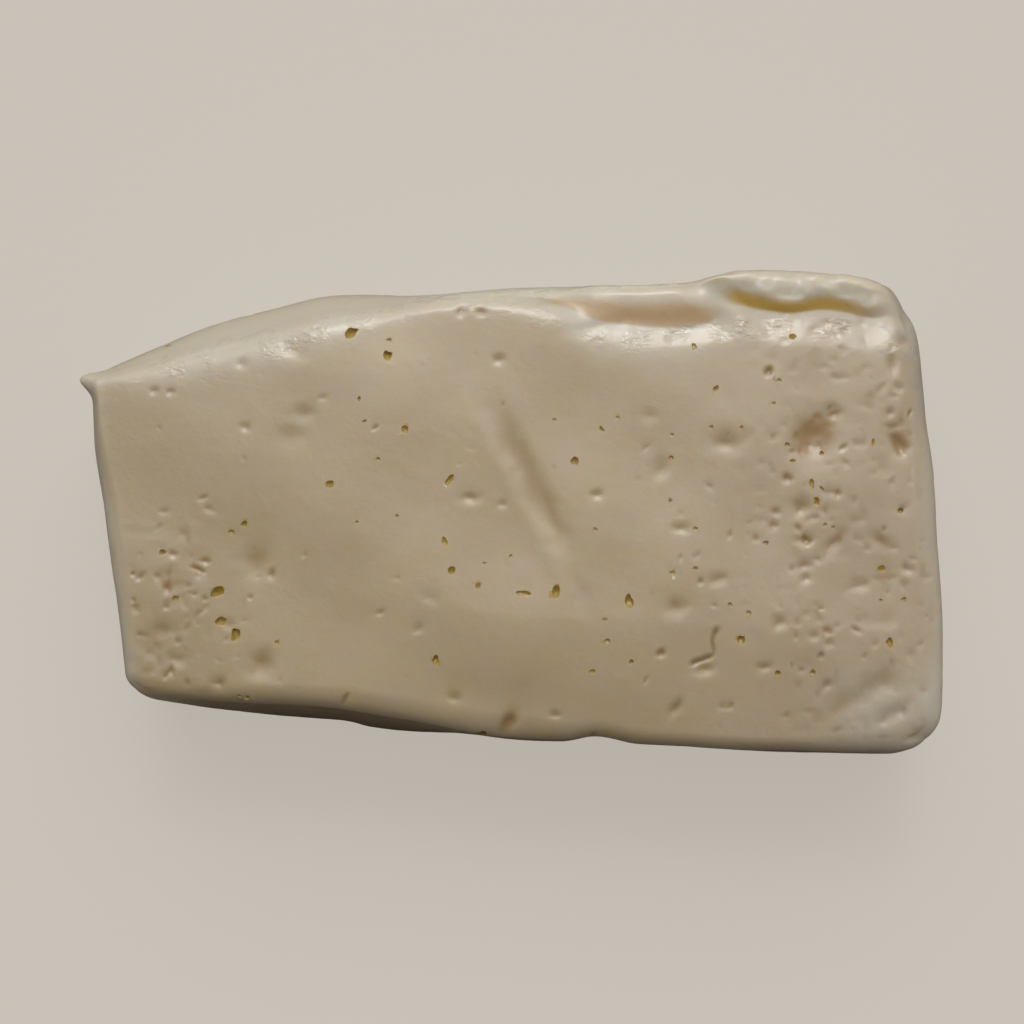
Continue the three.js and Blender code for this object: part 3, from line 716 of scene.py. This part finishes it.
def eye_blobs(block):
    """The uneven balls that open the eyes: points, triangles, and how much painted shade each triangle's eye
    wall gets.
    """
    rng = np.random.default_rng(SEED + 9)
    ball, triangles = icosphere(EYE_BALL_STEPS)
    on_top = np.flatnonzero(block.out[:, 2] > EYE_FACES_UP)
    eyes = []
    for x, y, *shape in EYES:
        nearest = on_top[np.argmin(np.hypot(block.points[on_top, 0] - x, block.points[on_top, 1] - y))]
        eyes.append((nearest, shape))
    upright = np.abs(block.out[:, 2]) < EYE_FACES_OUT
    on_side = (upright & (block.points[:, 2] > LOWEST_SIDE_EYE)) * 1.0
    for index in draw_places(on_side, SIDE_EYES, rng):
        half = blend(*SIDE_EYE_SIZES, rng.random() ** 2)
        shape = (half, half * rng.uniform(*SIDE_EYE_WIDTHS), rng.uniform(0, 180), half * SIDE_EYE_DEPTH)
        eyes.append((index, shape))
    points, faces, strength = [], [], []
    for number, (index, (half_length, half_width, turn, depth)) in enumerate(eyes):
        uneven = 1 + EYE_UNEVEN * lattice_noise(ball + EYE_APART * number, EYE_LUMP, SEED + 5)
        blob = ball * uneven[:, None] * (half_length, half_width, EYE_DEPTH * depth)
        faces.append(triangles + len(ball) * number)
        points.append(blob @ facing_frame(block.out[index], turn) + block.points[index])
        eye_shade = blend(*EYE_SHADE_SHARES, smoothstep(*EYE_SHADE_SIZES, half_length))
        strength += [eye_shade] * len(triangles)
    return np.concatenate(points), np.concatenate(faces), strength


def store_mark(piece, name, domain, values):
    """Keeps a value for each point or face of a piece, for its material to read."""
    attribute = piece.data.attributes.new(name, "FLOAT", domain)
    attribute.data.foreach_set("value", values.astype(np.float32))


def positions(mesh, kind="vertices", field="co"):
    items = getattr(mesh, kind)
    out = np.empty(len(items) * 3, np.float32)
    items.foreach_get(field, out)
    return out.reshape(-1, 3)


MOST_TRIANGLES = 168_000
CELL = 0.36
# The grid's length, width and height in millimetres, and its rows, closer along the edges and the top.
GRID_SIZE = (155, 87, 48.4)
GRID_ROWS = (
    [[-1, -1], [-0.9, -0.92], [0.9, 0.92], [1, 1]],
    [[-1, -1], [-0.84, -0.89], [0.58, 0.68], [1, 1]],
    [[-1, -1], [0.1, 0.3], [1, 1]],
)
# A face this close to the balls of the eyes, in metres, is an eye's wall.
EYE_SKIN = 2e-5
SHARP_ANGLE = 60


def make_tomme():
    """The whole block as one piece with the marks its material reads, and its shift in the plan."""
    cells = [round(size / CELL) for size in GRID_SIZE]
    cube, quads = cube_surface(cells, [curve_through(rows) for rows in GRID_ROWS])
    block = Block(cube)
    depth, pit_shade = relief(block)
    block.press(depth)
    block.shape_sides()
    blobs, blob_faces, eye_shade = eye_blobs(block)

    # The solid's box centre is the frame's centre, so the same shift places this surface.
    low, high = np.array(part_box(NODE))
    shift = (low + high) / 2 / MM - (block.points.min(axis=0) + block.points.max(axis=0)) / 2
    shift[2] = 0
    tomme = new_piece("tomme_curd", mesh_from("tomme_curd", block.points + shift, quads))
    thin = tomme.modifiers.new("thin", "DECIMATE")
    thin.ratio = MOST_TRIANGLES / (2 * len(quads))
    apply_modifiers(tomme)

    cutter = new_piece("eye_cutter", mesh_from("eye_cutter", blobs + shift, blob_faces))
    cut = tomme.modifiers.new("eyes", "BOOLEAN")
    cut.operation, cut.solver, cut.object = "DIFFERENCE", "MANIFOLD", cutter
    apply_modifiers(tomme)

    surface = BVHTree.FromPolygons([tuple(p) for p in positions(cutter.data)], blob_faces.tolist())
    bpy.data.objects.remove(cutter)
    tomme.data.update()
    centres = positions(tomme.data, "polygons", "center")
    found = [surface.find_nearest(tuple(p), EYE_SKIN)[2] for p in centres]
    # The eye walls' share of painted shade, more for larger eyes.
    store_mark(tomme, "eye", "FACE", np.array([0 if index is None else eye_shade[index] for index in found]))

    tree = tree_of((block.points + shift) * MM)
    nearest = np.array([tree.find(p)[1] for p in positions(tomme.data)])
    wet, crinkled = block.film()
    # Shares the material reads: painted shade in the marks (hollow), in the hollow's groove and in the recess
    # under the lip; painted light on the lip and a painted highlight on the rim; paler curd with painted
    # sheen; the wet film and its crinkles.
    marks = {
        "pocket": block.pocket, "valley": block.valley, "milky_and_highlight": block.milky_and_highlight, "hollow": pit_shade * (1 - wet),
        "wet": wet, "crinkled": crinkled, "pale_and_sheen": block.pale_and_sheen(),
    }
    for name, values in marks.items():
        store_mark(tomme, name, "POINT", values[nearest])
    tomme.data.shade_smooth()
    tomme.data.set_sharp_from_angle(angle=math.radians(SHARP_ANGLE))
    return tomme, Vector(shift) * MM


# ---- Material ----


def add_node(tree, kind, inputs=None, **settings):
    """A shader node with its inputs set: a socket is linked, anything else is a value."""
    node = tree.nodes.new("ShaderNode" + kind)
    for name, value in settings.items():
        setattr(node, name, value)
    for name, value in (inputs or {}).items():
        if isinstance(value, bpy.types.NodeSocket):
            tree.links.new(value, node.inputs[name])
        else:
            node.inputs[name].default_value = value
    return node


def noise(tree, size_mm, detail, place, roughness=0.5):
    """Noise whose marks are about size_mm across."""
    inputs = {"Vector": place, "Scale": 1000 / size_mm, "Detail": detail, "Roughness": roughness}
    return add_node(tree, "TexNoise", inputs).outputs[0]


def ranged(tree, value, low, high, to_low, to_high):
    """A value from low to high, brought to the range from to_low to to_high."""
    inputs = {"Value": value, "From Min": low, "From Max": high, "To Min": to_low, "To Max": to_high}
    return add_node(tree, "MapRange", inputs).outputs[0]


def mixed(tree, share, a, b):
    node = add_node(tree, "Mix", {0: share, 6: a, 7: b}, data_type="RGBA")
    return node.outputs[2]


def mark(tree, name):
    return add_node(tree, "Attribute", attribute_name=name).outputs["Fac"]


IVORY = (0.57, 0.455, 0.285, 1)
STRAW = (0.53, 0.415, 0.24, 1)
ROSY = (0.56, 0.447, 0.32, 1)
# Paler curd and painted sheen: at the ends this is a painted sheen, along the far edge it is both.
PALE_AND_SHEEN = (0.63, 0.575, 0.47, 1)
# Painted shade for the narrow end, which is darker as if less lit.
NARROW_END_SHADE = (0.485, 0.38, 0.23, 1)
# The lip's cream film, brighter as painted light, and the painted highlight of the wet rim.
MILKY_AND_HIGHLIGHT = (0.76, 0.725, 0.605, 1)
# Painted shade: the warm tan in pits, dents, crumbs and creases.
PIT_SHADE_TAN = (0.415, 0.27, 0.12, 1)
# Painted shade in the hollow's low groove.
VALLEY_SHADE_TAN = (0.60, 0.415, 0.225, 1)
# Painted shade in the recess under the lip.
POCKET_SHADE_OCHRE = (0.62, 0.42, 0.12, 1)
# Painted shade inside the eyes.
EYE_WALL_SHADE = (0.52, 0.37, 0.09, 1)
# Sizes in millimetres of the curd's broad and fine clouds, dull patches, grain and crinkles.
BROAD_CLOUDS, FINE_CLOUDS, DULL_PATCHES, GRAIN, CRINKLES = 38, 6, 9, 0.8, 1.4
# Along the block in metres: where a colour starts, where it is full, and its share there.
ROSY_ALONG = (0.015, 0.06, 0.7)
# The narrow end's tint is painted shade: the block gets darker towards its narrow end, as if less lit there.
NARROW_SHADE_ALONG = (-0.02, -0.062, 0.85)
DRY_ROUGHNESS = (0.34, 0.5)
WET_ROUGHNESS = 0.1
GRAIN_HEIGHT = 0.0001
CRINKLE_HEIGHT = 0.0006
CURD_SURFACE = {
    "Subsurface Weight": 0.8, "Subsurface Radius": (1.0, 0.62, 0.28), "Subsurface Scale": 0.0027,
    "IOR": 1.45, "Coat Weight": 0.8, "Coat Roughness": 0.24, "Coat IOR": 1.45,
}


def curd_material():
    """Moist, slightly translucent curd: uneven ivory with a fine grain, painted tan shade in the pits and the
    hollow's groove, painted ochre shade in the eyes and under the lip, painted sheen and highlight on the
    ends, far edge and lip, and painted shade darkening the narrow end.
    """
    material = bpy.data.materials.new("curd")
    material.use_nodes = True
    tree = material.node_tree
    surface = tree.nodes["Principled BSDF"]
    place = add_node(tree, "TexCoord").outputs["Object"]

    broad = ranged(tree, noise(tree, BROAD_CLOUDS, 2, place), 0.35, 0.65, 0, 1)
    fine = ranged(tree, noise(tree, FINE_CLOUDS, 4, place, 0.6), 0.4, 0.7, 0, 0.8)
    colour = mixed(tree, broad, IVORY, STRAW)
    colour = mixed(tree, fine, colour, ROSY)
    along = add_node(tree, "SeparateXYZ", {0: place}).outputs["X"]
    for (start, full, share), tint in ((ROSY_ALONG, ROSY), (NARROW_SHADE_ALONG, NARROW_END_SHADE)):
        colour = mixed(tree, ranged(tree, along, start, full, 0, share), colour, tint)
    # Painted shade and painted light are laid over the curd's colour by these marks.
    marks = {
        "pale_and_sheen": PALE_AND_SHEEN, "milky_and_highlight": MILKY_AND_HIGHLIGHT, "valley": VALLEY_SHADE_TAN, "hollow": PIT_SHADE_TAN, "pocket": POCKET_SHADE_OCHRE, "eye": EYE_WALL_SHADE,
    }
    for name, tint in marks.items():
        colour = mixed(tree, mark(tree, name), colour, tint)
    tree.links.new(colour, surface.inputs["Base Color"])

    dry = ranged(tree, noise(tree, DULL_PATCHES, 3, place), 0.3, 0.7, *DRY_ROUGHNESS)
    roughness = add_node(tree, "Mix", {0: mark(tree, "wet"), 2: dry, 3: WET_ROUGHNESS}).outputs[0]
    tree.links.new(roughness, surface.inputs["Roughness"])

    grain = add_node(tree, "Bump", {
        "Height": noise(tree, GRAIN, 3, place),
        "Strength": 0.3,
        "Distance": GRAIN_HEIGHT,
    })
    # The film's crinkles: a net of sharp ridges where a noise crosses its middle value.
    stretched = add_node(tree, "Mapping", {"Vector": place, "Rotation": (0, 0, 0.3), "Scale": (0.6, 1, 1)})
    crinkled = noise(tree, CRINKLES, 2, stretched.outputs[0], 0.6)
    across = add_node(tree, "Math", {0: crinkled, 1: 0.5}, operation="SUBTRACT")
    ridges = add_node(tree, "Math", {0: across.outputs[0]}, operation="ABSOLUTE")
    crinkles = add_node(tree, "Bump", {
        "Height": ridges.outputs[0],
        "Strength": ranged(tree, mark(tree, "crinkled"), 0, 1, 0.04, 1),
        "Distance": CRINKLE_HEIGHT,
        "Normal": grain.outputs[0],
    }, invert=True)
    tree.links.new(crinkles.outputs[0], surface.inputs["Normal"])

    for name, value in CURD_SURFACE.items():
        surface.inputs[name].default_value = value
    return material


# ---- Stage ----

FLOOR = (0.83, 0.775, 0.70, 1)
FLOOR_SEEN = (0.591, 0.546, 0.485, 1)
FLOOR_BOUNCE = (0.34, 0.29, 0.23, 1)
FLOOR_EVEN_SHARE = 0.8
# In metres: half the floor's side, and how far under the block it lies.
FLOOR_REACH = 6.0
FLOOR_DROP = 0.0002


def floor_material():
    """An even paper colour with only a faint shadow to the eye, and a dim warm bounce to the block."""
    material = bpy.data.materials.new("floor")
    material.use_nodes = True
    tree = material.node_tree
    tree.nodes.clear()
    seen = add_node(tree, "LightPath").outputs["Is Camera Ray"]
    paper = add_node(tree, "BsdfDiffuse", {"Color": mixed(tree, seen, FLOOR_BOUNCE, FLOOR)})
    even = add_node(tree, "Emission", {"Color": FLOOR_SEEN})
    share = add_node(tree, "Math", {0: seen, 1: FLOOR_EVEN_SHARE}, operation="MULTIPLY").outputs[0]
    both = add_node(tree, "MixShader", {0: share, 1: paper.outputs[0], 2: even.outputs[0]})
    tree.links.new(both.outputs[0], add_node(tree, "OutputMaterial").inputs["Surface"])
    return material


def make_floor():
    corners = np.array([(-1, -1, 0), (1, -1, 0), (1, 1, 0), (-1, 1, 0)]) * FLOOR_REACH / MM
    floor = new_piece("floor", mesh_from("floor", corners, np.array([(0, 1, 2, 3)])))
    floor.location.z = -FLOOR_DROP
    floor.data.materials.append(floor_material())


WINDOW_COLOUR = (1.0, 0.985, 0.96)
CORE_COLOUR = (1.0, 0.99, 0.97)
# The room's light by how far a direction points to +Y: from, to, and the strengths there.
ROOM = (-0.5, 0.7, 0.02, 0.32)


def sun_light(name, azimuth, elevation, angle, strength, colour):
    """A distant soft light. Azimuth 180 is behind the block, on the far side."""
    a, e = math.radians(azimuth), math.radians(elevation)
    back = Vector((math.sin(a) * math.cos(e), -math.cos(a) * math.cos(e), math.sin(e)))
    light = bpy.data.lights.new(name, "SUN")
    light.energy, light.color, light.angle = strength, colour, math.radians(angle)
    lamp = bpy.data.objects.new(name, light)
    lamp.rotation_euler = (-back).to_track_quat("-Z", "Y").to_euler()
    bpy.context.scene.collection.objects.link(lamp)


def make_lights():
    """A window on the far side with a brighter core, in a room that is dim on the near side."""
    sun_light("window", azimuth=180, elevation=54, angle=64, strength=1.52, colour=WINDOW_COLOUR)
    sun_light("window_core", azimuth=180, elevation=60, angle=13, strength=0.5, colour=CORE_COLOUR)
    world = bpy.data.worlds.new("room")
    world.use_nodes = True
    tree = world.node_tree
    background = tree.nodes["Background"]
    background.inputs["Color"].default_value = (*WINDOW_COLOUR, 1)
    direction = add_node(tree, "SeparateXYZ", {0: add_node(tree, "TexCoord").outputs["Generated"]})
    strength = ranged(tree, direction.outputs["Y"], *ROOM)
    tree.links.new(strength, background.inputs["Strength"])
    bpy.context.scene.world = world


# The photograph is this many millimetres wide at this height over the floor.
PHOTO_WIDTH = 184.3
PHOTO_PLANE = 38.0
CAMERA_ELEVATION = 86.3
CAMERA_DISTANCE = 0.5
SENSOR_WIDTH = 36


def make_camera(centre):
    """Looks almost straight down on the block, as the photograph does."""
    data = bpy.data.cameras.new("camera")
    data.sensor_width = SENSOR_WIDTH
    data.lens = SENSOR_WIDTH * CAMERA_DISTANCE / (PHOTO_WIDTH * MM)
    camera = bpy.data.objects.new("camera", data)
    e = math.radians(CAMERA_ELEVATION)
    back = Vector((0, -math.cos(e), math.sin(e)))
    target = Vector((centre.x, centre.y, PHOTO_PLANE * MM))
    camera.location = target + back * CAMERA_DISTANCE
    camera.rotation_euler = (-back).to_track_quat("-Z", "Y").to_euler()
    bpy.context.scene.collection.objects.link(camera)
    bpy.context.scene.camera = camera


tomme, plan_centre = make_tomme()
make_camera(plan_centre)
make_lights()
make_floor()

tomme.data.materials.clear()
tomme.data.materials.append(curd_material())
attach(tomme, "root")
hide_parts(NODE)

bpy.context.scene.view_settings.view_transform = "Standard"
bpy.context.scene.view_settings.look = "None"
